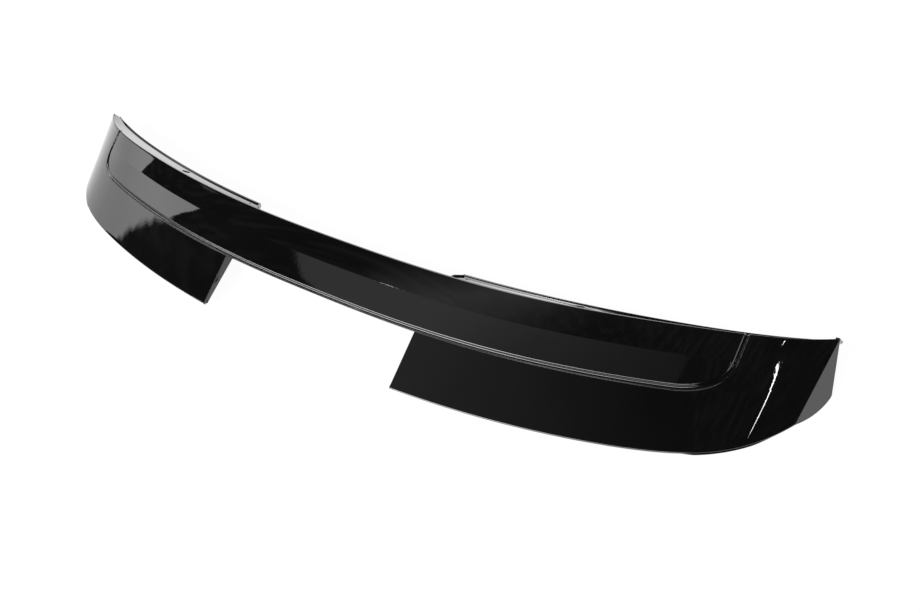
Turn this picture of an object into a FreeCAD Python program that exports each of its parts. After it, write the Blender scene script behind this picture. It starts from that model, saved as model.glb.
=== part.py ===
import FreeCAD, Part
import math
import os

# Rear roof spoiler, moulded in one piece as a shell that is open underneath.
# Sizes are in millimetres. X runs across the car, Y forward and Z up. The shape is drawn about the
# middle of the ridge, and the finished part is then moved to stand on the middle of its own base.
# A station s runs from -1 at one tip to 1 at the other, and each section is a vertical plane.

# Ridge: the edge between the panel and the front flange
half_width = 600.0
ridge_sweep = 62.0
ridge_sweep_power = 3.1
tip_sweep = 16.0
ridge_crown = 57.0
ridge_crown_power = 6

# Trailing edge
trail_inset = 10.0
trail_half_width = half_width - trail_inset
chord = 148.5
trail_sweep = 87.5
trail_sweep_power = 2.5
corner_sweep = 52.0
corner_power = 16
trail_drop = 22.5
trail_rise = 11.5
corner_drop = 20.0
corner_drop_power = 8
edge_depth = 5.0
edge_tip_depth = 1.2
edge_fade_power = 24
edge_draft = 1.0

# Fold between the panel and the rear tabs, as a share of the way from the ridge to the trailing edge
fold_share = 0.525
fold_share_fade = 0.05
fold_rise = 9.5
panel_crown = 1.5

# Front flange, with a raised lip along its free edge and a gap in the middle
lip_reach = 9.0
lip_sweep = 70.0
lip_sweep_power = 2.2
lip_tip_sweep = 6.5
lip_drop = 2.5
lip_end_drop = 10.5
lip_height = 2.0
lip_width = 2.5
flange_wall = 3.0
gap_half_at_ridge = 166.0
gap_half_at_lip = 178.0
gap_stub = 1.0
flange_end_slant = 12.0
flange_end_margin = 0.3

# Shell and ribs
wall = 3.0
ridge_land = 12.0
end_wall = 4.0
rib_wall = 2.0
ribs_per_wing = 3

# Notch between the two tabs
notch_half_width = 168.5
bridge_depth = 6.0
notch_lip = 1.2

# Styling groove round the panel
groove_width = 4.6
groove_depth = 1.8
groove_floor = 1.6
groove_clearance = 2.0
groove_corner_x = 524.0
groove_corner_reach = 44.0
groove_corner_rise = 32.0

# Flat facet that closes each end
heel_out = 7.9
heel_back = 45.0
heel_drop = 33.0
heel_radius = 8.0
facet_bulge = 7.5

# Thin seat lip under each rear corner
seat_inner_x = 507.0
seat_outer_x = 578.0
seat_reach = 1.8
seat_thickness = 1.2

# Holes in the flange, by distance from the middle and by share of the flange's width
fixing_hole_x = 342.0
fixing_hole_radius = 6.0
fixing_hole_share = 0.45
pilot_hole_x = 192.0
pilot_hole_radius = 1.5
pilot_hole_share = 0.4

# Drawing values
half_stations = 10
groove_points = 7
overshoot = 10.0


def vector(x, y, z):
    return FreeCAD.Vector(x, y, z)


def ridge_point(s):
    a = abs(s)
    y = ridge_sweep * a ** ridge_sweep_power + tip_sweep * a ** corner_power
    z = ridge_crown * (a ** 2 - a ** ridge_crown_power)
    return vector(half_width * s, y, z)


def trail_point(s):
    a = abs(s)
    y = -chord + trail_sweep * a ** trail_sweep_power + corner_sweep * a ** corner_power
    z = -trail_drop + trail_rise * a ** 2 - corner_drop * a ** corner_drop_power
    return vector(trail_half_width * s, y, z)


def edge_foot_z(s):
    """Height of the trailing edge's foot, which rises towards the edge at the tips."""
    fade = (edge_depth - edge_tip_depth) * abs(s) ** edge_fade_power
    return trail_point(s).z - edge_depth + fade


def in_section(s, y, z):
    """A point of section s, which is the vertical plane through its ridge and trailing points."""
    ridge = ridge_point(s)
    trail = trail_point(s)
    share = (y - trail.y) / (ridge.y - trail.y)
    return vector(trail.x + (ridge.x - trail.x) * share, y, z)


def fold_point(s):
    share = fold_share - fold_share_fade * s ** 2
    point = ridge_point(s) * (1 - share) + trail_point(s) * share
    point.z += fold_rise * (1 - s ** 2) ** 2
    return point


def lip_point(s):
    a = abs(s)
    y = lip_reach + lip_sweep * a ** lip_sweep_power + lip_tip_sweep * a ** corner_power
    return in_section(s, y, -lip_drop - lip_end_drop * a ** 2)


def top_height(s, y):
    """Height of the outer skin behind the ridge: a crowned panel, then a straight tab."""
    ridge = ridge_point(s)
    fold = fold_point(s)
    trail = trail_point(s)
    if y >= fold.y:
        share = (ridge.y - y) / (ridge.y - fold.y)
        crown = 4 * panel_crown * (1 - s ** 2) * share * (1 - share)
        return ridge.z + (fold.z - ridge.z) * share + crown
    share = (fold.y - y) / (fold.y - trail.y)
    return fold.z + (trail.z - fold.z) * share


def station_at(x, y):
    """The station whose section passes over the plan point x, y."""
    s = x / half_width
    for _ in range(6):
        scale = in_section(s, y, 0).x / s if s else half_width
        s = x / scale
    return s


def flange_axes(s):
    """Directions along the flange, from ridge to lip, and out of its upper face."""
    ridge = ridge_point(s)
    lip = lip_point(s)
    length = math.hypot(lip.y - ridge.y, lip.z - ridge.z)
    along = ((lip.y - ridge.y) / length, (lip.z - ridge.z) / length)
    return along, (-along[1], along[0])


def flange_foot(s):
    """The inner corner where the flange meets its raised lip."""
    along, out = flange_axes(s)
    lip = lip_point(s)
    y = lip.y - along[0] * lip_width - out[0] * lip_height
    z = lip.z - along[1] * lip_width - out[1] * lip_height
    return in_section(s, y, z)


def stations(reach):
    """Stations from -reach to reach, closer together towards the tips."""
    count = 2 * half_stations
    return [reach * math.sin(math.pi * (i / count - 0.5)) for i in range(count + 1)]


def profile_wire(curve_points, corners):
    """A closed section: a smooth curve through some points, then straight runs through the corners."""
    curve = Part.BSplineCurve()
    curve.interpolate(curve_points)
    edges = [curve.toShape()]
    ends = [curve_points[-1]] + corners + [curve_points[0]]
    for start, end in zip(ends, ends[1:]):
        edges.append(Part.makeLine(start, end))
    return Part.Wire(edges)


def skin_points(s, front_y, drop):
    """Three points of the panel's section, from front_y to the fold, lowered by drop."""
    fold_y = fold_point(s).y
    depths = [front_y, (front_y + fold_y) / 2, fold_y]
    return [in_section(s, y, top_height(s, y) - drop) for y in depths]


def envelope_section(s):
    """Outline of the filled section, with the flange and its lip."""
    ridge = ridge_point(s)
    trail = trail_point(s)
    lip = lip_point(s)
    along, out = flange_axes(s)
    lip_inside = in_section(s, lip.y - along[0] * lip_width, lip.z - along[1] * lip_width)
    depth = lip_height + flange_wall
    corners = [
        trail,
        in_section(s, trail.y + edge_draft, edge_foot_z(s)),
        in_section(s, ridge.y - wall, ridge.z - wall - edge_draft),
        in_section(s, lip.y - out[0] * depth, lip.z - out[1] * depth),
        lip,
        lip_inside,
        flange_foot(s),
    ]
    return profile_wire(skin_points(s, ridge.y, 0.0), corners)


def cavity_section(s):
    """Outline of the hollow under the skin, which runs out through the open underside."""
    front_y = ridge_point(s).y - ridge_land
    trail = trail_point(s)
    rear_y = trail.y + wall
    floor_z = trail.z - edge_depth - overshoot
    corners = [
        in_section(s, rear_y, top_height(s, rear_y) - wall),
        in_section(s, rear_y + edge_draft, floor_z),
        in_section(s, front_y, floor_z),
    ]
    return profile_wire(skin_points(s, front_y, wall), corners)


def loft(section, reach):
    return Part.makeLoft([section(s) for s in stations(reach)], True, False)


def box_between(low, high):
    size = high - low
    return Part.makeBox(size.x, size.y, size.z, low)


def notch_edge_y(x):
    """The panel's free edge in the notch, just behind the middle of the groove."""
    return fold_point(x / half_width).y - notch_lip


def notch_prism(margin):
    """The notch, seen from above and widened by a margin, as an upright prism."""
    half = notch_half_width + margin
    rear_y = -chord - overshoot
    low_z = -trail_drop - edge_depth - 2 * overshoot
    left = vector(-half, notch_edge_y(half) + margin, low_z)
    middle = vector(0, notch_edge_y(0) + margin, low_z)
    right = vector(half, left.y, low_z)
    rear_right = vector(half, rear_y, low_z)
    rear_left = vector(-half, rear_y, low_z)
    outline = Part.Wire([
        Part.Arc(left, middle, right).toShape(),
        Part.makeLine(right, rear_right),
        Part.makeLine(rear_right, rear_left),
        Part.makeLine(rear_left, left),
    ])
    return Part.Face(outline).extrude(vector(0, 0, ridge_crown - low_z))


def bridge_relief():
    """Takes the panel's bridge over the notch back to a shallow return."""
    low = vector(-notch_half_width, -chord - overshoot, -chord)
    high = vector(notch_half_width, lip_reach + overshoot, -bridge_depth)
    return box_between(low, high)


def gap_prism():
    """The gap in the middle of the flange, with slanted ends and a stub left along the ridge."""
    low_z = -chord
    s = gap_half_at_ridge / half_width
    near_y = ridge_point(s).y + gap_stub
    lip_y = lip_point(gap_half_at_lip / half_width).y
    slant = (gap_half_at_lip - gap_half_at_ridge) / (lip_y - near_y)
    far_half = gap_half_at_lip + slant * overshoot
    left = vector(-gap_half_at_ridge, near_y, low_z)
    middle = vector(0, gap_stub, low_z)
    right = vector(gap_half_at_ridge, near_y, low_z)
    far_right = vector(far_half, lip_y + overshoot, low_z)
    far_left = vector(-far_half, lip_y + overshoot, low_z)
    outline = Part.Wire([
        Part.Arc(left, middle, right).toShape(),
        Part.makeLine(right, far_right),
        Part.makeLine(far_right, far_left),
        Part.makeLine(far_left, left),
    ])
    return Part.Face(outline).extrude(vector(0, 0, 2 * chord))


def rib_slabs():
    """Full-height slabs where the hollow is left filled to make the cross ribs."""
    slabs = []
    first = notch_half_width + wall
    pitch = (half_width - first) / (ribs_per_wing + 1)
    for side in (-1, 1):
        for k in range(1, ribs_per_wing + 1):
            x = side * (first + k * pitch)
            low = vector(x - rib_wall / 2, -2 * chord, -2 * chord)
            high = vector(x + rib_wall / 2, 2 * chord, 2 * chord)
            slabs.append(box_between(low, high))
    return slabs


def groove_half_plan():
    """Plan points of one half of the groove: along the fold, round the corner and out over the ridge."""
    corner_y = fold_point(groove_corner_x / half_width).y
    start_x = groove_corner_x - groove_corner_reach
    start_y = fold_point(start_x / half_width).y
    top_y = corner_y + groove_corner_rise
    plan = []
    for k in range(1, groove_points):
        x = start_x * k / groove_points
        plan.append((x, fold_point(x / half_width).y))
    for t in (0.0, 0.25, 0.5, 0.75, 1.0):
        x = groove_corner_x - groove_corner_reach * (1 - t) ** 2
        y = start_y * (1 - t) ** 2 + 2 * corner_y * t * (1 - t) + top_y * t ** 2
        plan.append((x, y))
    ridge_y = ridge_point(groove_corner_x / half_width).y
    plan.append((groove_corner_x, (top_y + ridge_y) / 2))
    plan.append((groove_corner_x, ridge_y + overshoot))
    return plan


def groove_section(before, here, after):
    """Section of the groove cutter, square to its line: a flat floor with sloping sides."""
    lateral = vector(before[1] - after[1], after[0] - before[0], 0).normalize()
    x, y = here
    skin = vector(x, y, top_height(station_at(x, y), y))
    flare = (groove_width - groove_floor) / 2 / groove_depth
    half_top = groove_width / 2 + flare * groove_clearance
    floor = skin - vector(0, 0, groove_depth)
    above = skin + vector(0, 0, groove_clearance)
    corners = [
        floor + lateral * (groove_floor / 2),
        floor - lateral * (groove_floor / 2),
        above - lateral * half_top,
        above + lateral * half_top,
    ]
    return Part.makePolygon(corners + [corners[0]])


def groove_tool():
    """A cutter that follows the groove's line over the skin."""
    half = groove_half_plan()
    plan = [(-x, y) for x, y in reversed(half)] + [(0.0, fold_point(0).y)] + half
    ends = [plan[0]] + plan + [plan[-1]]
    sections = []
    for before, here, after in zip(ends, ends[1:], ends[2:]):
        sections.append(groove_section(before, here, after))
    return Part.makeLoft(sections, True, False)


def flange_point(s, share):
    return ridge_point(s) * (1 - share) + flange_foot(s) * share


def flange_drill(x, share, radius):
    """A drill square to the flange at distance x from the middle."""
    s = x / half_width
    step = 0.01
    centre = flange_point(s, share)
    across = flange_point(s + step, share) - flange_point(s - step, share)
    along = flange_foot(s) - ridge_point(s)
    axis = across.cross(along).normalize()
    return Part.makeCylinder(radius, 2 * overshoot, centre - axis * overshoot, axis)


def flange_end(side):
    """Takes the flange's end back at a slant, so that its lip stops short of the tip."""
    tip = ridge_point(side)
    near = vector(tip.x + side * flange_end_margin, tip.y + flange_end_margin, -chord)
    lip_end = lip_point(side * (1 - flange_end_slant / half_width))
    along = vector(lip_end.x - near.x, lip_end.y - near.y, 0).normalize()
    outer = near - along * (2 * overshoot)
    inner = near + along * (4 * overshoot)
    forward = vector(0, 4 * overshoot, 0)
    outline = Part.makePolygon([outer, inner, inner + forward, outer + forward, outer])
    return Part.Face(outline).extrude(vector(0, 0, 2 * chord))


def end_facet(side):
    """The flat plate that closes one end, from the end crease down to a rounded heel and a bowed foot."""
    tip = ridge_point(side)
    trail = trail_point(side)
    heel = vector(tip.x + side * heel_out, tip.y - heel_back, tip.z - heel_drop)
    normal = (trail - tip).cross(heel - tip).normalize()
    down = (trail - heel).cross(normal).normalize()
    if down.z > 0:
        down = down * -1
    control = (heel + trail) * 0.5 + down * facet_bulge
    to_tip = (tip - heel).normalize()
    to_foot = (control - heel).normalize()
    half_angle = to_tip.getAngle(to_foot) / 2
    run = heel_radius / math.tan(half_angle)
    bisector = (to_tip + to_foot).normalize()
    centre = heel + bisector * (heel_radius / math.sin(half_angle))
    arc_start = heel + to_tip * run
    arc_end = heel + to_foot * run
    arc_middle = centre - bisector * heel_radius
    foot = Part.BezierCurve()
    foot.setPoles([arc_end, control, trail])
    outline = Part.Wire([
        Part.makeLine(trail, tip),
        Part.makeLine(tip, arc_start),
        Part.Arc(arc_start, arc_middle, arc_end).toShape(),
        foot.toShape(),
    ])
    return Part.Face(outline).extrude(vector(-side * wall / abs(normal.x), 0, 0))


def seat_lip(side):
    """The thin lip under a rear corner, which stands out a little past the trailing edge."""
    sections = []
    steps = 6
    for k in range(steps + 1):
        x = seat_inner_x + (seat_outer_x - seat_inner_x) * k / steps
        s = side * x / trail_half_width
        trail = trail_point(s)
        low_z = edge_foot_z(s)
        rear_y = trail.y + edge_draft - seat_reach
        front_y = trail.y + edge_draft + wall / 2
        corners = [
            in_section(s, rear_y, low_z),
            in_section(s, front_y, low_z),
            in_section(s, front_y, low_z + seat_thickness),
            in_section(s, rear_y, low_z + seat_thickness),
        ]
        sections.append(Part.makePolygon(corners + [corners[0]]))
    return Part.makeLoft(sections, True, False)


def build_shell():
    cavity = loft(cavity_section, 1 - end_wall / half_width)
    cavity = cavity.cut(notch_prism(wall))
    cavity = cavity.cut(rib_slabs())
    shell = loft(envelope_section, 1.0)
    for cutter in (groove_tool(), notch_prism(0.0), gap_prism(), bridge_relief(), cavity):
        shell = shell.cut(cutter)
    for side in (-1, 1):
        shell = shell.cut(flange_end(side))
        shell = shell.fuse(end_facet(side))
        shell = shell.fuse(seat_lip(side))
        shell = shell.cut(flange_drill(side * fixing_hole_x, fixing_hole_share, fixing_hole_radius))
        shell = shell.cut(flange_drill(side * pilot_hole_x, pilot_hole_share, pilot_hole_radius))
    return shell.Solids[0]


def stand_on_base(shape):
    """Moves the part so that the middle of its base is the origin."""
    box = shape.optimalBoundingBox(False)
    shape.translate(vector(0, -(box.YMin + box.YMax) / 2, -box.ZMin))
    return shape


os.makedirs("parts", exist_ok=True)
spoiler_shell = stand_on_base(build_shell())
spoiler_shell.exportStep("parts/spoiler_shell.step")
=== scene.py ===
import math

import bmesh
import bpy
import numpy as np
from mathutils import Matrix, Vector


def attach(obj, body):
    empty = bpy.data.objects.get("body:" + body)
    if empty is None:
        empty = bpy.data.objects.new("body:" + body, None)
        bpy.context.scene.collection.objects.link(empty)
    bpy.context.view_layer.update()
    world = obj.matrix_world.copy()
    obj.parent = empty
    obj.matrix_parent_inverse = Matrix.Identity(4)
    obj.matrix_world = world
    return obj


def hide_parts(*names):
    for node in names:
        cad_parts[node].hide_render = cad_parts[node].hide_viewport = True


# A rear roof spoiler in gloss black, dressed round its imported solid.
# Shapes are drawn in millimetres about the middle of the ridge, as in the part's own drawing, and moved to
# the row's frame in metres at the end. X runs across the car, Y forward and Z up.

# Ridge
half_width = 600.0
ridge_sweep = 62.0
ridge_sweep_power = 3.1
tip_sweep = 16.0
ridge_crown = 57.0
ridge_crown_power = 6

# Trailing edge
trail_inset = 10.0
chord = 148.5
trail_sweep = 87.5
trail_sweep_power = 2.5
corner_sweep = 52.0
corner_power = 16
trail_drop = 22.5
trail_rise = 11.5
corner_drop = 20.0
corner_drop_power = 8
edge_depth = 3.4
edge_tip_depth = 1.2
edge_fade_power = 24
edge_draft = 1.0

# Fold between the panel and the rear tabs, and the panel's soft crease
fold_share = 0.525
fold_share_fade = 0.05
fold_rise = 9.5
panel_crown = 3.0
crease_share = 0.468
crease_round = 0.03
crease_end = 528.0
crease_end_run = 60.0
front_strip_crown = -0.45
rear_strip_crown = -0.45

# Front flange and its raised lip
lip_reach = 9.0
lip_sweep = 70.0
lip_sweep_power = 2.2
lip_tip_sweep = 6.5
lip_drop = 2.5
lip_end_drop = 10.5
lip_height = 2.0
lip_width = 2.5
lip_end_height = 0.5
lip_end_run = 35.0
flange_wall = 3.0
gap_half_at_ridge = 166.0
gap_half_at_lip = 178.0
gap_stub = 1.0
gap_slant_fade = 90.0
rim_inner = 1.5
rim_outer = 2.3
rim_share = 0.9
rim_start_share = 0.15
rim_full_share = 0.4
flange_end_slant = 1.0
flange_end_fade = 60.0
solid_flange_end_slant = 12.0

# Shell and ribs
wall = 3.0
ridge_land = 12.0
end_wall = 4.0
rib_wall = 2.0
ribs_per_wing = 3

# Notch between the tabs
notch_half_width = 168.5
bridge_depth = 4.4
notch_lip = 1.2
notch_edge_round = 0.5
notch_side_round = 0.8
notch_straight = 4.0
notch_straighten = 150.0

# Styling groove
groove_width = 6.6
groove_floor = 1.6
groove_depth = 2.1
groove_ahead = 1.6
groove_overrun = 12.6
groove_corner_x = 524.0
groove_corner_reach = 44.0
groove_corner_rise = 32.0

# End facets and seat lips
heel_out = 7.9
heel_back = 45.0
heel_drop = 33.0
heel_radius = 8.0
facet_bulge = 7.5
heel_arc_points = 9
foot_points = 25
seat_inner_x = 507.0
seat_outer_x = 578.0
seat_ramp = 15.0
seat_reach = 1.8
seat_thickness = 1.2

# Holes in the flange
fixing_hole_x = 342.0
fixing_hole_radius = 6.0
fixing_hole_share = 0.45
pilot_hole_x = 192.0
pilot_hole_radius = 1.5
pilot_hole_share = 0.4
drill_length = 20.0
drill_sides = 40

# Rounding of the edges, as the distance from the corner at which each starts
ridge_round_front = 0.9
ridge_round_back = 2.5
trail_round = 1.2
lip_round = 0.6
round_points = 7

# Spacing of the mesh along the part, and across it
bridge_step = 6.0
wing_step = 4.0
corner_from = 478.0
corner_to = 530.0
corner_step = 0.55
tip_step = 1.6
panel_run = 72.0
crease_rows_from = 30.5
crease_rows_to = 37.0
groove_rows_from = 66.0
panel_rows_to = 71.8
front_row_step = 1.4
crease_row_step = 0.4
rear_row_step = 0.85
groove_row_step = 0.35
row_slack = 0.01
flange_rows = 14
tab_rows = 26
tab_first_row = 0.3
tab_row_growth = (0.0, 0.35, 0.7, 1.05, 1.4, 1.8, 2.3, 3.0)
bridge_face_shares = (0.4, 0.6, 0.8, 1.0)
inner_rows = 12
groove_run_points = 200
groove_bend_points = 40
notch_corner_run = 1.0
notch_corner_columns = 7
merges_per_mm = 500
sharp_angle = math.radians(35)

# Floor
floor_size = 60.0
floor_glow = 1.07
floor_glow_share = 0.9

# Brightness of the studio, where 1 is white, and as it runs with height or across
dark_level = 0.015
wall_level = 1.6
wall_levels = [(0.35, 0.58), (0.45, 0.66), (0.6, 0.95)]
ceiling_levels = [(0.72, 0.27), (0.78, 0.3), (0.85, 0.17), (0.91, 0.115), (0.945, 0.085), (0.985, 0.06)]
ceiling_rear_levels = [(0.78, 0.155), (0.855, 0.085), (0.909, 0.04), (0.952, 0.012)]
ceiling_front_levels = [(0.335, 0.012), (0.344, 0.1), (0.362, 0.22), (0.43, 0.055), (0.5, 0.015)]
mottle_level = 0.03
front_bar_level = 3.0
rear_bar_level = 9.0
slot_level = 15.0
panel_level = 1.25
lamp_level = 25.0

# Straight edges in the studio: the direction square to each, how far along it the edge lies, its softness
upper_wall_edge = (-0.514, -1.0, -0.301, 0.2033, 0.003)
upper_wall_end = (-1.0, -0.442, -0.175, 0.671, 0.01)
lower_wall_edge = (-0.249, -1.0, -0.199, 0.087, 0.002)
lower_wall_end = (0.37, 1.0, 0.213, -0.15, 0.005)
rear_wall_edge = (0.0, -6.4, 1.0, 1.514, 0.03)
panel_wall_start = (-0.163, 1.0, 0.346, 0.21, 0.004)
front_ceiling_start = (0.454, 1.0, 0.646, 0.36, 0.008)
front_ceiling_end = (-0.415, 0.317, -1.0, -0.388, 0.004)
panel_ceiling_start = (-0.099, 0.841, 1.0, 0.766, 0.008)
panel_ceiling_edge = (0.248, 0.148, 1.0, 0.567, 0.002)

# Level limits in the studio, along X or Z, each with its softness
low_band_top = (0.12, 0.02)
wall_side = (-0.3, 0.1)
wall_top = (0.75, 0.02)
panel_ceiling_side = (-0.07, 0.07)
rear_ceiling_side = (-0.05, 0.05)
rear_ceiling_edge = (0.721, 0.003)
panel_side = (0.95, 0.02)
panel_top = (0.2, 0.03)
bar_side = (0.2, 0.1)
horizon = (0.0, 0.1)

# Bars, slot and lamps, as ranges of the direction: low end, high end and softness
rear_bar_height = (0.35, 0.78, 0.06)
rear_bar_reach = (-0.8, -0.42, 0.05)
front_bar_height = (0.3, 0.7, 0.06)
front_bar_reach = (0.47, 0.8, 0.05)
slot_middle = -0.653
slot_half_width = 0.0024
slot_soft = 0.0008
slot_reach = (0.195, 0.245, 0.01)
lamp_across = (0.4711, 0.8813, -0.0374)
lamp_length = (0.734, -0.435, -0.522)
lamp_bow = 2.2
lamp_shift = 0.0075
lamp_half_length = 0.083
lamp_end_soft = 0.004
lamp_half_width = 0.002
lamp_side_soft = 0.001
lamp_bead = 0.002
lamp_bead_scale = 90.0
spot_way = (0.357, -0.166, 0.919)
spot_radius = 0.003
spot_soft = 0.001

# Unevenness of the edges, and its share on each
rough_scale = 26.0
rough_size = 0.03
upper_wall_rough = 0.1
lower_wall_rough = 0.25
rear_wall_rough = 3.0
panel_ceiling_rough = 0.05
mottle_scale = 40.0
mottle_start = 0.1
mottle_soft = 0.3

# Camera, as fitted to the photograph in the drawing's frame
photo_width = 920
focal_pixels = 1000.0
camera_turn = math.radians(60.40)
camera_tilt = math.radians(49.32)
camera_roll = math.radians(32.74)
camera_offset = (-142.8, -80.9, 1265.7)
sensor_width = 36.0


def points(x, y, z):
    return np.stack(np.broadcast_arrays(x, y, z), axis=-1).astype(float)


def smooth(low, high, value):
    t = np.clip((value - low) / (high - low), 0, 1)
    return t * t * (3 - 2 * t)


def ridge_point(s):
    a = np.abs(s)
    y = ridge_sweep * a ** ridge_sweep_power + tip_sweep * a ** corner_power
    z = ridge_crown * (a ** 2 - a ** ridge_crown_power)
    return points(half_width * s, y, z)


def trail_point(s):
    a = np.abs(s)
    y = -chord + trail_sweep * a ** trail_sweep_power + corner_sweep * a ** corner_power
    z = -trail_drop + trail_rise * a ** 2 - corner_drop * a ** corner_drop_power
    return points((half_width - trail_inset) * s, y, z)


def foot_depth(s):
    """Depth of the trailing edge's face, which fades towards the tips."""
    return edge_depth - (edge_depth - edge_tip_depth) * np.abs(s) ** edge_fade_power


def in_section(s, y, z):
    ridge = ridge_point(s)
    trail = trail_point(s)
    share = (y - trail[..., 1]) / (ridge[..., 1] - trail[..., 1])
    return points(trail[..., 0] + (ridge[..., 0] - trail[..., 0]) * share, y, z)


def share_at_fold(s):
    return fold_share - fold_share_fade * s ** 2


def fold_point(s):
    share = share_at_fold(s)[..., None]
    point = ridge_point(s) * (1 - share) + trail_point(s) * share
    point[..., 2] += fold_rise * (1 - s ** 2) ** 2
    return point


def lip_point(s):
    a = np.abs(s)
    y = lip_reach + lip_sweep * a ** lip_sweep_power + lip_tip_sweep * a ** corner_power
    return in_section(s, y, -lip_drop - lip_end_drop * a ** 2)


def top_height(s, y):
    """Height of the outer skin behind the ridge: a panel with a soft crease, then a straight tab."""
    ridge = ridge_point(s)
    fold = fold_point(s)
    trail = trail_point(s)
    front = (ridge[..., 1] - y) / (ridge[..., 1] - fold[..., 1])
    rise = front / crease_share
    fall = (1 - front) / (1 - crease_share)
    blend = np.clip((rise - fall) / (2 * crease_round) + 0.5, 0, 1)
    soft = fall * blend + rise * (1 - blend) - crease_round * blend * (1 - blend)
    strips = front_strip_crown * np.clip(rise * (1 - rise), 0, 1)
    strips = strips + rear_strip_crown * np.clip(fall * (1 - fall), 0, 1)
    fade = 1 - smooth(crease_end - crease_end_run, crease_end, np.abs(s) * half_width)
    crown = (panel_crown * soft + 4 * strips) * (1 - s ** 2) * fade
    panel = ridge[..., 2] + (fold[..., 2] - ridge[..., 2]) * front + crown
    rear = (fold[..., 1] - y) / (fold[..., 1] - trail[..., 1])
    tab = fold[..., 2] + (trail[..., 2] - fold[..., 2]) * rear
    return np.where(front <= 1, panel, tab)


def flange_frame(s):
    """Unit directions down the flange and out of its upper face, as (y, z) pairs."""
    ridge = ridge_point(s)
    lip = lip_point(s)
    run = lip[..., 1:] - ridge[..., 1:]
    along = run / np.linalg.norm(run, axis=-1, keepdims=True)
    out = np.stack([-along[..., 1], along[..., 0]], axis=-1)
    return along, out


def flange_offset(s, back, down):
    """A point set back from the lip's edge along the flange, and down square to it."""
    along, out = flange_frame(s)
    place = lip_point(s)[..., 1:] - along * back - out * down
    return in_section(s, place[..., 0], place[..., 1])


def groove_path():
    """The groove's line in plan: beside the fold, round the corner and out over the ridge."""
    start_x = groove_corner_x - groove_corner_reach
    corner_y = groove_run(groove_corner_x)
    top_y = corner_y + groove_corner_rise
    run_x = np.linspace(0, start_x, groove_run_points)
    run = np.stack([run_x, groove_run(run_x)], axis=-1)
    t = np.linspace(0, 1, groove_bend_points)[1:]
    bend_x = groove_corner_x - groove_corner_reach * (1 - t) ** 2
    bend_y = run[-1, 1] * (1 - t) ** 2 + 2 * corner_y * t * (1 - t) + top_y * t ** 2
    over_y = ridge_point(np.array(groove_corner_x / half_width))[1] + groove_overrun
    over = np.array([[groove_corner_x, over_y]])
    return np.concatenate([run, np.stack([bend_x, bend_y], axis=-1), over])


def groove_run(x):
    """Where the groove lies along Y, just ahead of the fold, at distance x from the middle."""
    return fold_point(np.asarray(x) / half_width)[..., 1] + groove_ahead


def groove_drop(place):
    """How far the groove lowers the skin at each point."""
    path = groove_path()
    x = np.abs(place[..., 0])
    y = place[..., 1]
    nearest = np.full(x.shape, np.inf)
    for start, end in zip(path, path[1:]):
        run = end - start
        t = ((x - start[0]) * run[0] + (y - start[1]) * run[1]) / (run @ run)
        t = np.clip(t, 0, 1)
        nearest = np.minimum(nearest, np.hypot(x - start[0] - t * run[0], y - start[1] - t * run[1]))
    return groove_depth * (1 - smooth(groove_floor / 2, groove_width / 2, nearest))


def corner_round(corner, before, after, reach_before, reach_after):
    """Rows of a rounded corner, from the side of one neighbour to the side of the other."""
    def toward(other, reach):
        run = other - corner
        return corner + run / np.linalg.norm(run, axis=-1, keepdims=True) * reach
    start = toward(before, reach_before)
    end = toward(after, reach_after)
    rows = []
    for t in np.linspace(0, 1, round_points):
        rows.append(start * (1 - t) ** 2 + corner * 2 * t * (1 - t) + end * t ** 2)
    return rows


def panel_depths():
    """Shares of the panel's depth at which its rows lie, closer together at the crease and the groove."""
    groups = [
        (ridge_round_back, crease_rows_from, front_row_step),
        (crease_rows_from, crease_rows_to, crease_row_step),
        (crease_rows_to, groove_rows_from, rear_row_step),
        (groove_rows_from, panel_rows_to, groove_row_step),
    ]
    depths = []
    for low, high, step in groups:
        depths.extend(np.arange(low, high, step))
    return np.array(depths) / panel_run


class Rows:
    """The closed section's rows over a run of columns, in order round the section."""

    def __init__(self):
        self.rows = []
        self.marks = {}

    def add(self, *rows):
        self.rows.extend(rows)

    def mark(self, name):
        self.marks[name] = len(self.rows)

    def array(self):
        return np.stack(self.rows)


def skin_row(c, share):
    """A row of the outer skin at a share of the way from ridge to trailing edge."""
    from_notch = np.abs(c) * half_width - notch_half_width
    straight = smooth(notch_straight, notch_straighten, from_notch)
    x = half_width * c - trail_inset * c * share * straight
    s = x / (half_width - trail_inset * share)
    y = ridge_point(s)[..., 1] * (1 - share) + trail_point(s)[..., 1] * share
    return in_section(s, y, top_height(s, y)), s


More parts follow.
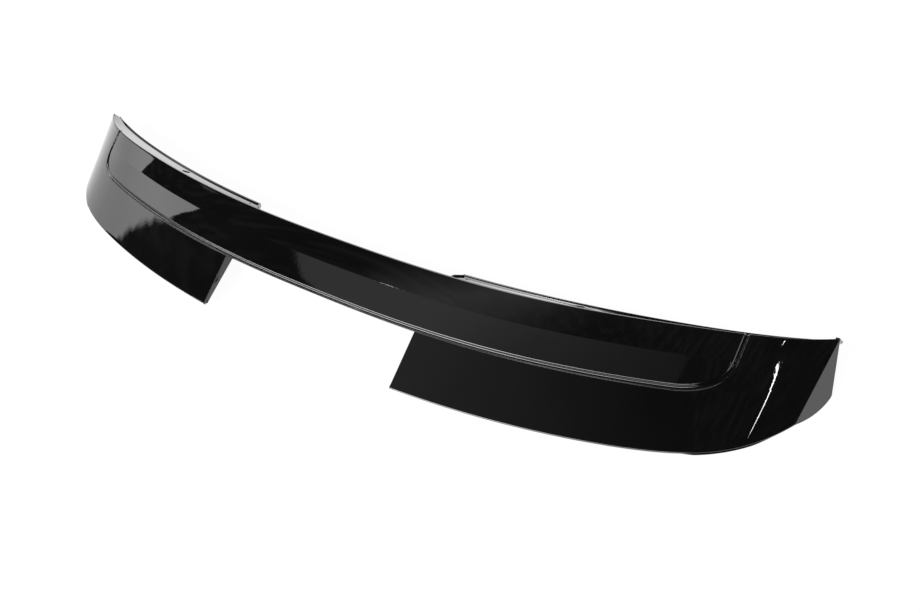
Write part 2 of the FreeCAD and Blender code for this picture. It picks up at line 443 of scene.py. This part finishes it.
def section_rows(c, bridge, hollow):
    """All rows of the closed section over the columns c, for the bridge or for a wing."""
    loop = Rows()
    at_fold = share_at_fold(c)
    depth = ridge_point(c)[..., 1] - trail_point(c)[..., 1]
    slant = (gap_half_at_lip - gap_half_at_ridge) / half_width
    across = np.abs(c) * half_width
    slant = slant * (1 - smooth(gap_half_at_ridge, gap_half_at_ridge + gap_slant_fade, across))
    end_slant = smooth(half_width - flange_end_fade, half_width, across)
    slant = slant - flange_end_slant / half_width * end_slant

    def flange_row(share):
        s = c + np.sign(c) * slant * share
        foot = flange_offset(s, lip_width, lip_height)
        row = ridge_point(s) * (1 - share)[..., None] + foot * share[..., None]
        rise = lip_height * rim * smooth(rim_start_share, rim_full_share, share)
        row[..., 1:] += flange_frame(s)[1] * rise[..., None]
        return row

    rim = rim_share * (1 - smooth(notch_half_width + rim_inner, notch_half_width + rim_outer, across))
    ridge = ridge_point(c)
    foot_y = flange_offset(c, lip_width, lip_height)[..., 1]
    stub_share = gap_stub / (foot_y - ridge[..., 1])
    stub = flange_row(stub_share)
    lip_s = c + np.sign(c) * slant

    first_panel = skin_row(c, panel_depths()[0] * at_fold)[0]
    loop.add(stub)
    ridge_rows = corner_round(ridge, stub, first_panel, ridge_round_front, ridge_round_back)
    loop.add(*ridge_rows[:-1])
    for share in panel_depths():
        loop.add(skin_row(c, share * at_fold)[0])
    edge_mm = np.arange(0, notch_lip - notch_edge_round + row_slack, groove_row_step)
    for back in edge_mm:
        loop.add(skin_row(c, at_fold + back / depth)[0])
    shared_end = len(loop.rows) - 1
    loop.marks["shared_end"] = shared_end

    if bridge:
        edge = skin_row(c, at_fold + notch_lip / depth)[0]
        for _ in range(tab_rows):
            loop.add(loop.rows[shared_end])
        low = edge.copy()
        low[..., 2] = -bridge_depth
        loop.add(*corner_round(edge, loop.rows[shared_end], low, notch_edge_round, notch_edge_round))
        for share in bridge_face_shares:
            loop.add(edge * (1 - share) + low * share)
        rear_y = edge[..., 1] + wall
        loop.mark("inner_start")
        loop.add(points(edge[..., 0], rear_y, low[..., 2]))
    else:
        offsets = [edge_mm[-1] + tab_first_row + growth for growth in tab_row_growth]
        for back in offsets:
            loop.add(skin_row(c, at_fold + back / depth)[0])
        last_share = at_fold + offsets[-1] / depth
        end_share = 1 - trail_round / depth
        coarse = tab_rows - len(offsets)
        for k in range(1, coarse + 1):
            loop.add(skin_row(c, last_share + (end_share - last_share) * k / (coarse + 1))[0])
        trail, trail_s = skin_row(c, np.ones_like(c))
        seat_x = np.abs(trail[..., 0])
        seat = smooth(seat_inner_x, seat_inner_x + seat_ramp, seat_x)
        seat = seat * (1 - smooth(seat_outer_x - seat_ramp, seat_outer_x, seat_x))
        t_y = trail[..., 1]
        t_z = trail[..., 2]

        foot = foot_depth(trail_s)

        def face(share, out):
            return in_section(trail_s, t_y + edge_draft * share - out, t_z - foot * share)

        above = 1 - seat_thickness / edge_depth
        before = loop.rows[-1]
        reach_down = (trail_round * foot / edge_depth)[..., None]
        loop.add(*corner_round(trail, before, face(1.0, 0), trail_round, reach_down))
        loop.add(face(above, 0), face(above, seat * seat_reach), face(1.0, seat * seat_reach))
        loop.add(face(1.0, 0))
        rear_y = t_y + wall
        loop.mark("inner_start")
        inner_y = t_y + wall + edge_draft / 2
        loop.add(in_section(trail_s, inner_y, under_height(c, inner_y)))

    front_y = ridge[..., 1] - ridge_land
    for k in range(inner_rows + 1):
        y = rear_y + (front_y - rear_y) * k / inner_rows
        if bridge or hollow:
            z = top_height(c, y) - wall
        else:
            z = under_height(c, y)
        loop.add(inner_point(c, y, z, bridge))
    loop.mark("inner_end")
    loop.add(inner_point(c, front_y, under_height(c, front_y), bridge))
    loop.mark("ridge_foot")
    ridge_foot = in_section(c, ridge[..., 1] - wall, ridge[..., 2] - wall - edge_draft)
    loop.add(ridge_foot)

    lip_count = 2 * round_points
    if bridge:
        below = flange_below(c, ridge_foot, stub[..., 1])
        steps = 1 + lip_count + 1 + flange_rows
        for k in range(steps):
            share = min(1.0, k / (1 + lip_count))
            loop.add(below * (1 - share) + stub * share)
    else:
        depth_below = lip_height + flange_wall
        lip_low = flange_offset(lip_s, 0.0, depth_below)
        sunk = (lip_height - lip_end_height) * smooth(half_width - lip_end_run, half_width, across)
        lip_top = flange_offset(lip_s, 0.0, sunk[..., None])
        lip_in = flange_offset(lip_s, lip_width, sunk[..., None])
        down = lip_height * (1 - rim)
        foot = flange_offset(lip_s, lip_width, down[..., None])
        reach = np.minimum(lip_round, 0.5 * (down - sunk))[..., None]
        loop.add(lip_low)
        loop.add(*corner_round(lip_top, lip_low, lip_in, lip_round, lip_round))
        loop.add(*corner_round(lip_in, lip_top, foot, lip_round, reach))
        loop.add(foot)
        for k in range(1, flange_rows + 1):
            share = 1 - (1 - stub_share) * k / (flange_rows + 1)
            loop.add(flange_row(share))
    return loop


def inner_point(c, y, z, bridge):
    if bridge:
        return points(half_width * c, y, z)
    return in_section(c, y, z)


def under_height(c, y):
    """Height of the straight line under the section, from the trailing edge's foot to the ridge's foot."""
    ridge = ridge_point(c)
    trail = trail_point(c)
    rear_y = trail[..., 1] + edge_draft
    rear_z = trail[..., 2] - foot_depth(c)
    front_y = ridge[..., 1] - wall
    front_z = ridge[..., 2] - wall - edge_draft
    return rear_z + (front_z - rear_z) * (y - rear_y) / (front_y - rear_y)


def flange_below(c, ridge_foot, y):
    """The point of the flange's lower face at depth y."""
    low = flange_offset(c, 0.0, lip_height + flange_wall)
    share = ((y - ridge_foot[..., 1]) / (low[..., 1] - ridge_foot[..., 1]))[..., None]
    return ridge_foot * (1 - share) + low * share


def run_columns(low, high, step):
    count = max(1, int(math.ceil((high - low) / step)))
    return np.linspace(low, high, count + 1)


def wing_intervals():
    """Runs of columns over the right wing, each with its hollow flag."""
    first = notch_half_width + wall
    pitch = (half_width - first) / (ribs_per_wing + 1)
    end = half_width - end_wall
    notch_corner = notch_half_width + notch_corner_run
    cuts = {notch_corner, notch_half_width + rim_inner, notch_half_width + rim_outer, corner_from, corner_to}
    solid = [(notch_half_width, first), (end, half_width)]
    for k in range(1, ribs_per_wing + 1):
        x = first + k * pitch
        solid.append((x - rib_wall / 2, x + rib_wall / 2))
    for low, high in solid:
        cuts.update((low, high))
    edges = sorted(cuts)
    runs = []
    for low, high in zip(edges, edges[1:]):
        middle = (low + high) / 2
        is_solid = any(a <= middle <= b for a, b in solid)
        if high <= notch_corner:
            turn = np.linspace(0, math.pi / 2, notch_corner_columns)
            columns = low + (high - low) * (1 - np.cos(turn))
        elif middle < corner_from:
            columns = run_columns(low, high, wing_step)
        elif middle < corner_to:
            columns = run_columns(low, high, corner_step)
        else:
            columns = run_columns(low, high, tip_step)
        runs.append((columns, not is_solid))
    return runs


class Builder:
    """Collects faces over points that are merged where they coincide."""

    def __init__(self):
        self.index = {}
        self.points = []
        self.faces = []

    def vertex(self, p):
        key = tuple(int(round(v * merges_per_mm)) for v in p)
        if key not in self.index:
            self.index[key] = len(self.points)
            self.points.append(tuple(p))
        return self.index[key]

    def face(self, ring):
        clean = []
        for i in ring:
            if not clean or clean[-1] != i:
                clean.append(i)
        while len(clean) > 1 and clean[0] == clean[-1]:
            clean.pop()
        if len(set(clean)) >= 3:
            self.faces.append(clean)

    def grid(self, rows):
        ids = np.array([[self.vertex(p) for p in row] for row in rows])
        count, columns = ids.shape
        for r in range(count):
            n = (r + 1) % count
            for k in range(columns - 1):
                self.face([ids[r, k], ids[r, k + 1], ids[n, k + 1], ids[n, k]])
        return ids


def dress_skin(rows, c, bridge):
    """Lowers the skin's rows by the groove, and rounds the tabs' sides at the notch."""
    array = rows.array()
    last = rows.marks["inner_start"]
    top = array[:last]
    top[..., 2] -= groove_drop(top) * skin_weight(rows, top, bridge)[..., None]
    if not bridge:
        gap = np.abs(c) * half_width - notch_half_width
        inside = np.clip(1 - gap / notch_side_round, 0, 1)
        drop = notch_side_round * (1 - np.sqrt(1 - inside ** 2))
        array[rows.marks["shared_end"] + 1:last, :, 2] -= drop
    return array


def skin_weight(rows, top, bridge):
    weight = np.ones(len(top))
    if not bridge:
        return weight
    weight[rows.marks["shared_end"] + 1 + tab_rows + round_points:] = 0
    return weight


def build_shell():
    """The whole shell as one closed mesh, from runs of sections across the car."""
    builder = Builder()
    wing = wing_intervals()
    runs = [(-columns[::-1], hollow, False) for columns, hollow in reversed(wing)]
    runs.append((run_columns(-notch_half_width, notch_half_width, bridge_step), True, True))
    runs += [(columns, hollow, False) for columns, hollow in wing]
    made = []
    for columns, hollow, bridge in runs:
        c = columns / half_width
        rows = section_rows(c, bridge, hollow)
        ids = builder.grid(dress_skin(rows, c, bridge))
        made.append((ids, rows.marks, hollow, bridge))
    for (ids, marks, hollow, bridge), (next_ids, _, next_hollow, next_bridge) in zip(made, made[1:]):
        a = list(ids[:, -1])
        b = list(next_ids[:, 0])
        if bridge != next_bridge:
            start, end = marks["shared_end"], marks["inner_end"]
            builder.face(a[start:end + 1] + b[start:end + 1][::-1])
            start = marks["ridge_foot"]
            builder.face(a[start:] + [a[0]] + b[start:][::-1])
        elif hollow != next_hollow:
            start, end = marks["inner_start"], marks["inner_end"]
            builder.face(a[start:end + 1] + b[start:end + 1][::-1])
    builder.face(list(made[0][0][:, 0]))
    builder.face(list(made[-1][0][:, -1]))
    return builder


def facet_outline(side):
    """The facet's outline: the end crease, then down to the rounded heel and back along the bowed foot."""
    tip = ridge_point(np.array(float(side)))
    trail = trail_point(np.array(float(side)))
    heel = tip + np.array([side * heel_out, -heel_back, -heel_drop])
    normal = np.cross(trail - tip, heel - tip)
    normal /= np.linalg.norm(normal)
    down = np.cross(trail - heel, normal)
    down /= math.copysign(np.linalg.norm(down), -down[2])
    control = (heel + trail) / 2 + down * facet_bulge
    to_tip = (tip - heel) / np.linalg.norm(tip - heel)
    to_foot = (control - heel) / np.linalg.norm(control - heel)
    half_angle = math.acos(to_tip @ to_foot) / 2
    run = heel_radius / math.tan(half_angle)
    start = heel + to_tip * run
    end = heel + to_foot * run
    outline = [trail, tip]
    for t in np.linspace(0, 1, heel_arc_points):
        outline.append(start * (1 - t) ** 2 + heel * 2 * t * (1 - t) + end * t ** 2)
    for t in np.linspace(0, 1, foot_points)[1:-1]:
        outline.append(end * (1 - t) ** 2 + control * 2 * t * (1 - t) + trail * t ** 2)
    return outline, normal


def end_plate(builder, side):
    """The flat plate that closes one end."""
    outline, normal = facet_outline(side)
    inward = np.array([-side * wall / abs(normal[0]), 0, 0])
    outer = [builder.vertex(p) for p in outline]
    inner = [builder.vertex(p + inward) for p in outline]
    builder.face(outer)
    builder.face(inner[::-1])
    count = len(outer)
    for k in range(count):
        n = (k + 1) % count
        builder.face([outer[k], inner[k], inner[n], outer[n]])


def to_row(p):
    """Moves a drawn point to the row's frame, in metres."""
    return Vector((float(p[0]), float(p[1]) + shift_y, float(p[2]) + shift_z)) / 1000


def mesh_object(name, builder):
    mesh = bpy.data.meshes.new(name)
    mesh.from_pydata([to_row(p) for p in builder.points], [], builder.faces)
    obj = bpy.data.objects.new(name, mesh)
    bpy.context.scene.collection.objects.link(obj)
    work = bmesh.new()
    work.from_mesh(mesh)
    bmesh.ops.recalc_face_normals(work, faces=work.faces)
    work.to_mesh(mesh)
    work.free()
    return obj


def flange_drill(x, share, radius):
    """A drill square to the flange at distance x from the middle."""
    def place(s):
        s = np.array(s)
        return ridge_point(s) * (1 - share) + flange_offset(s, lip_width, lip_height) * share
    s = x / half_width
    step = 0.01
    centre = place(s)
    across = place(s + step) - place(s - step)
    along = flange_offset(np.array(s), lip_width, lip_height) - ridge_point(np.array(s))
    axis = np.cross(across, along)
    turn = Vector(axis).to_track_quat("Z", "Y").to_matrix().to_4x4()
    bpy.ops.mesh.primitive_cylinder_add(vertices=drill_sides, radius=radius / 1000, depth=drill_length / 1000)
    drill = bpy.context.object
    drill.matrix_world = Matrix.Translation(to_row(centre)) @ turn
    return drill


def drill_flange(shell):
    for side in (-1, 1):
        for x, share, radius in (
            (fixing_hole_x, fixing_hole_share, fixing_hole_radius),
            (pilot_hole_x, pilot_hole_share, pilot_hole_radius),
        ):
            drill = flange_drill(side * x, share, radius)
            cut = shell.modifiers.new("hole", "BOOLEAN")
            cut.operation = "DIFFERENCE"
            cut.solver = "EXACT"
            cut.object = drill
            bpy.context.view_layer.objects.active = shell
            bpy.ops.object.modifier_apply(modifier=cut.name)
            bpy.data.objects.remove(drill)


def set_value(node, name, value):
    node.inputs[name].default_value = value


def gloss_black():
    """Deep gloss black paint with a faint orange peel and slight haze."""
    material = bpy.data.materials.new("gloss_black")
    material.use_nodes = True
    nodes = material.node_tree.nodes
    links = material.node_tree.links
    shader = nodes["Principled BSDF"]
    set_value(shader, "IOR", 1.5)
    set_value(shader, "Coat Weight", 1.0)
    set_value(shader, "Coat IOR", 1.5)
    set_value(shader, "Coat Roughness", 0.01)
    place = nodes.new("ShaderNodeTexCoord")

    haze = nodes.new("ShaderNodeTexNoise")
    set_value(haze, "Scale", 14.0)
    set_value(haze, "Detail", 5.0)
    links.new(place.outputs["Object"], haze.inputs["Vector"])
    gloss = nodes.new("ShaderNodeMapRange")
    set_value(gloss, "To Min", 0.008)
    set_value(gloss, "To Max", 0.02)
    links.new(haze.outputs["Fac"], gloss.inputs["Value"])
    links.new(gloss.outputs["Result"], shader.inputs["Roughness"])

    tint = nodes.new("ShaderNodeValToRGB")
    tint.color_ramp.elements[0].color = (0.002, 0.002, 0.002, 1)
    tint.color_ramp.elements[1].color = (0.005, 0.005, 0.005, 1)
    links.new(haze.outputs["Fac"], tint.inputs["Fac"])
    links.new(tint.outputs["Color"], shader.inputs["Base Color"])

    peel = nodes.new("ShaderNodeTexNoise")
    set_value(peel, "Scale", 260.0)
    set_value(peel, "Detail", 2.0)
    links.new(place.outputs["Object"], peel.inputs["Vector"])
    bump = nodes.new("ShaderNodeBump")
    set_value(bump, "Strength", 0.05)
    set_value(bump, "Distance", 0.0002)
    links.new(peel.outputs["Fac"], bump.inputs["Height"])
    links.new(bump.outputs["Normal"], shader.inputs["Normal"])
    return material


def white_floor():
    """A pale floor that shows white and still takes the part's shadow."""
    material = bpy.data.materials.new("floor")
    material.use_nodes = True
    nodes = material.node_tree.nodes
    links = material.node_tree.links
    nodes.clear()
    out = nodes.new("ShaderNodeOutputMaterial")
    matt = nodes.new("ShaderNodeBsdfDiffuse")
    set_value(matt, "Color", (0.8, 0.8, 0.8, 1))
    glow = nodes.new("ShaderNodeEmission")
    set_value(glow, "Strength", floor_glow)
    path = nodes.new("ShaderNodeLightPath")
    seen = nodes.new("ShaderNodeMath")
    seen.operation = "ADD"
    seen.use_clamp = True
    links.new(path.outputs["Is Camera Ray"], seen.inputs[0])
    links.new(path.outputs["Is Glossy Ray"], seen.inputs[1])
    both = nodes.new("ShaderNodeMath")
    both.operation = "ADD"
    both.use_clamp = True
    links.new(seen.outputs[0], both.inputs[0])
    links.new(path.outputs["Is Transmission Ray"], both.inputs[1])
    share = nodes.new("ShaderNodeMath")
    share.operation = "MULTIPLY"
    links.new(both.outputs[0], share.inputs[0])
    share.inputs[1].default_value = floor_glow_share
    mix = nodes.new("ShaderNodeMixShader")
    links.new(share.outputs[0], mix.inputs["Fac"])
    links.new(matt.outputs[0], mix.inputs[1])
    links.new(glow.outputs[0], mix.inputs[2])
    links.new(mix.outputs[0], out.inputs["Surface"])
    return material


def add_floor():
    bpy.ops.mesh.primitive_plane_add(size=floor_size)
    floor = bpy.context.object
    floor.name = "floor"
    floor.data.materials.append(white_floor())


class Sky:
    """Builds the room's brightness from the direction looked in, node by node."""

    def __init__(self, tree):
        self.nodes = tree.nodes
        self.links = tree.links
        place = self.nodes.new("ShaderNodeTexCoord")
        self.way = place.outputs["Generated"]
        split = self.nodes.new("ShaderNodeSeparateXYZ")
        self.links.new(self.way, split.inputs[0])
        self.x, self.y, self.z = split.outputs

    def put(self, socket, value):
        if isinstance(value, (int, float)):
            socket.default_value = value
        else:
            self.links.new(value, socket)

    def sum(self, a, b, operation="ADD"):
        node = self.nodes.new("ShaderNodeMath")
        node.operation = operation
        self.put(node.inputs[0], a)
        self.put(node.inputs[1], b)
        return node.outputs[0]

    def times(self, first, *others):
        for other in others:
            first = self.sum(first, other, "MULTIPLY")
        return first

    def along(self, x, y, z):
        """How far the direction runs along x, y, z."""
        node = self.nodes.new("ShaderNodeVectorMath")
        node.operation = "DOT_PRODUCT"
        self.links.new(self.way, node.inputs[0])
        node.inputs[1].default_value = (x, y, z)
        return node.outputs["Value"]

    def from_way(self, x, y, z):
        """Distance between the direction and another one."""
        node = self.nodes.new("ShaderNodeVectorMath")
        node.operation = "DISTANCE"
        self.links.new(self.way, node.inputs[0])
        node.inputs[1].default_value = (x, y, z)
        return node.outputs["Value"]

    def away(self, value):
        """Distance of a value from nought."""
        node = self.nodes.new("ShaderNodeMath")
        node.operation = "ABSOLUTE"
        self.put(node.inputs[0], value)
        return node.outputs[0]

    def above(self, value, limit, soft):
        """One where the value is above the limit, with a soft edge."""
        node = self.nodes.new("ShaderNodeMapRange")
        node.interpolation_type = "SMOOTHSTEP"
        self.put(node.inputs["Value"], value)
        set_value(node, "From Min", limit - soft)
        set_value(node, "From Max", limit + soft)
        return node.outputs["Result"]

    def below(self, value, limit, soft):
        return self.sum(1.0, self.above(value, limit, soft), "SUBTRACT")

    def between(self, value, low, high, soft):
        return self.times(self.above(value, low, soft), self.below(value, high, soft))

    def beyond(self, edge, offset=0.0):
        """One on the far side of a straight edge, which an offset makes uneven."""
        x, y, z, limit, soft = edge
        return self.above(self.sum(self.along(x, y, z), offset), limit, soft)

    def short_of(self, edge, offset=0.0):
        return self.sum(1.0, self.beyond(edge, offset), "SUBTRACT")

    def mix(self, share, first, second):
        """The first value where the share is nought, and the second where it is one."""
        rest = self.sum(1.0, share, "SUBTRACT")
        return self.sum(self.times(first, rest), self.times(second, share))

    def ragged(self, scale, size):
        """A small uneven offset, for edges that aren't quite straight."""
        noise = self.nodes.new("ShaderNodeTexNoise")
        set_value(noise, "Scale", scale)
        set_value(noise, "Detail", 3.0)
        self.links.new(self.way, noise.inputs["Vector"])
        node = self.nodes.new("ShaderNodeMapRange")
        self.links.new(noise.outputs["Fac"], node.inputs["Value"])
        set_value(node, "To Min", -size)
        set_value(node, "To Max", size)
        return node.outputs["Result"]

    def ramp(self, value, stops):
        """A brightness that follows the value through a few stops."""
        node = self.nodes.new("ShaderNodeValToRGB")
        elements = node.color_ramp.elements
        while len(elements) < len(stops):
            elements.new(0.5)
        for element, (position, level) in zip(elements, stops):
            element.position = position
            element.color = (level, level, level, 1)
        self.put(node.inputs["Fac"], value)
        return node.outputs["Color"]


def studio_world():
    """A studio: a pale wall, a grey ceiling, bars front and rear, a low side panel and a strip lamp."""
    world = bpy.data.worlds.new("studio")
    bpy.context.scene.world = world
    world.use_nodes = True
    sky = Sky(world.node_tree)
    rough = sky.ragged(rough_scale, rough_size)
    layers = [
        sky.below(sky.z, *low_band_top),
        studio_wall(sky, rough),
        studio_ceiling(sky, rough),
        sky.times(sky.above(sky.x, *panel_side), sky.below(sky.z, *panel_top), panel_level),
        studio_bar(sky, rear_bar_height, rear_bar_reach, rear_bar_level),
        studio_bar(sky, front_bar_height, front_bar_reach, front_bar_level),
        studio_slot(sky),
        studio_lamp(sky),
        sky.times(sky.below(sky.from_way(*spot_way), spot_radius, spot_soft), lamp_level),
    ]
    total = dark_level
    for layer in layers:
        total = sky.sum(layer, total, "MAXIMUM")
    back = world.node_tree.nodes["Background"]
    sky.links.new(total, back.inputs["Color"])


def studio_wall(sky, rough):
    """The pale wall, with its own edge where each strip of the panel and the tab mirrors it."""
    upper = sky.times(
        sky.beyond(upper_wall_edge, sky.times(rough, upper_wall_rough)),
        sky.beyond(upper_wall_end),
    )
    lower = sky.times(
        sky.beyond(lower_wall_edge, sky.times(rough, lower_wall_rough)),
        sky.short_of(lower_wall_end),
    )
    rear = sky.short_of(rear_wall_edge, sky.times(rough, rear_wall_rough))
    return sky.times(
        sky.mix(sky.beyond(panel_wall_start), rear, sky.sum(upper, lower, "MAXIMUM")),
        sky.below(sky.x, *wall_side),
        sky.below(sky.z, *wall_top),
        sky.ramp(sky.z, wall_levels),
        wall_level,
    )


def studio_ceiling(sky, rough):
    """The grey ceiling: its front part, the part over the panel and the part over the tab."""
    mottle = sky.times(sky.above(sky.ragged(mottle_scale, 1.0), mottle_start, mottle_soft), mottle_level)
    front = sky.sum(sky.ramp(sky.sum(sky.x, 1.0), ceiling_front_levels), mottle)
    over_panel = sky.times(
        sky.beyond(panel_ceiling_edge, sky.times(rough, panel_ceiling_rough)),
        sky.below(sky.x, *panel_ceiling_side),
        sky.ramp(sky.z, ceiling_levels),
    )
    rear = sky.times(
        sky.above(sky.z, *rear_ceiling_edge),
        sky.below(sky.x, *rear_ceiling_side),
        sky.ramp(sky.z, ceiling_rear_levels),
    )
    at_front = sky.sum(sky.beyond(front_ceiling_start), sky.beyond(front_ceiling_end), "MAXIMUM")
    return sky.mix(at_front, sky.mix(sky.beyond(panel_ceiling_start), rear, over_panel), front)


def studio_bar(sky, height, reach, level):
    """A bright bar that runs across the car."""
    return sky.times(
        sky.between(sky.z, *height),
        sky.between(sky.y, *reach),
        sky.below(sky.x, *bar_side),
        level,
    )


def studio_slot(sky):
    """A narrow bright slot, which shows as a dash on the panel's crease."""
    return sky.times(
        sky.below(sky.away(sky.sum(sky.x, -slot_middle)), slot_half_width, slot_soft),
        sky.between(sky.y, *slot_reach),
        sky.above(sky.z, *horizon),
        slot_level,
    )


def studio_lamp(sky):
    """A thin, slightly bowed strip lamp with uneven sides."""
    run = sky.along(*lamp_length)
    middle = sky.sum(sky.along(*lamp_across), sky.times(run, run, lamp_bow))
    side = sky.sum(sky.away(sky.sum(middle, -lamp_shift)), sky.ragged(lamp_bead_scale, lamp_bead))
    return sky.times(
        sky.below(side, lamp_half_width, lamp_side_soft),
        sky.below(sky.away(run), lamp_half_length, lamp_end_soft),
        sky.above(sky.z, *horizon),
        lamp_level,
    )


def add_camera():
    """The camera of the photograph, from its fitted turn, tilt, roll and distance."""
    right = np.array([math.cos(camera_turn), math.sin(camera_turn), 0])
    ahead = np.array([
        -math.sin(camera_turn) * math.cos(camera_tilt),
        math.cos(camera_turn) * math.cos(camera_tilt),
        -math.sin(camera_tilt),
    ])
    level = np.stack([right, -np.cross(right, ahead), ahead])
    cos_roll = math.cos(camera_roll)
    sin_roll = math.sin(camera_roll)
    roll = np.array([[cos_roll, sin_roll, 0], [-sin_roll, cos_roll, 0], [0, 0, 1]])
    axes = roll @ level
    place = to_row(-axes.T @ np.array(camera_offset))
    data = bpy.data.cameras.new("camera")
    data.sensor_fit = "HORIZONTAL"
    data.sensor_width = sensor_width
    data.lens = focal_pixels / photo_width * sensor_width
    camera = bpy.data.objects.new("camera", data)
    bpy.context.scene.collection.objects.link(camera)
    turn = Matrix([axes[0], -axes[1], -axes[2]]).transposed().to_4x4()
    camera.matrix_world = Matrix.Translation(place) @ turn
    bpy.context.scene.camera = camera


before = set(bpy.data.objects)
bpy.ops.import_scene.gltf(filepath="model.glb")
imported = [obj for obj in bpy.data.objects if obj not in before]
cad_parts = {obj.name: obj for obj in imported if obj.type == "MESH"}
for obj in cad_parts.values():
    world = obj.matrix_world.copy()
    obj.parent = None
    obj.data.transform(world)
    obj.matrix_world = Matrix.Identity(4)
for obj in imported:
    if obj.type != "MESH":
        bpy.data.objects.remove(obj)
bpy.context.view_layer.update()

rear_y = float(trail_point(np.array(notch_half_width / (half_width - trail_inset)))[1])
front_y = float(lip_point(np.array(1 - solid_flange_end_slant / half_width))[1])
shift_y = -(front_y + rear_y) / 2
shift_z = -min(float(p[2]) for p in facet_outline(1)[0])

paint = gloss_black()
shell = mesh_object("spoiler", build_shell())
drill_flange(shell)
plates = Builder()
end_plate(plates, -1)
end_plate(plates, 1)
facets = mesh_object("end_facets", plates)
for piece in (shell, facets):
    piece.data.materials.clear()
    piece.data.materials.append(paint)
    piece.data.shade_smooth()
    piece.data.set_sharp_from_angle(angle=sharp_angle)
    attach(piece, "root")
    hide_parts("spoiler_shell")

add_floor()
studio_world()
add_camera()
bpy.context.scene.view_settings.view_transform = "Standard"
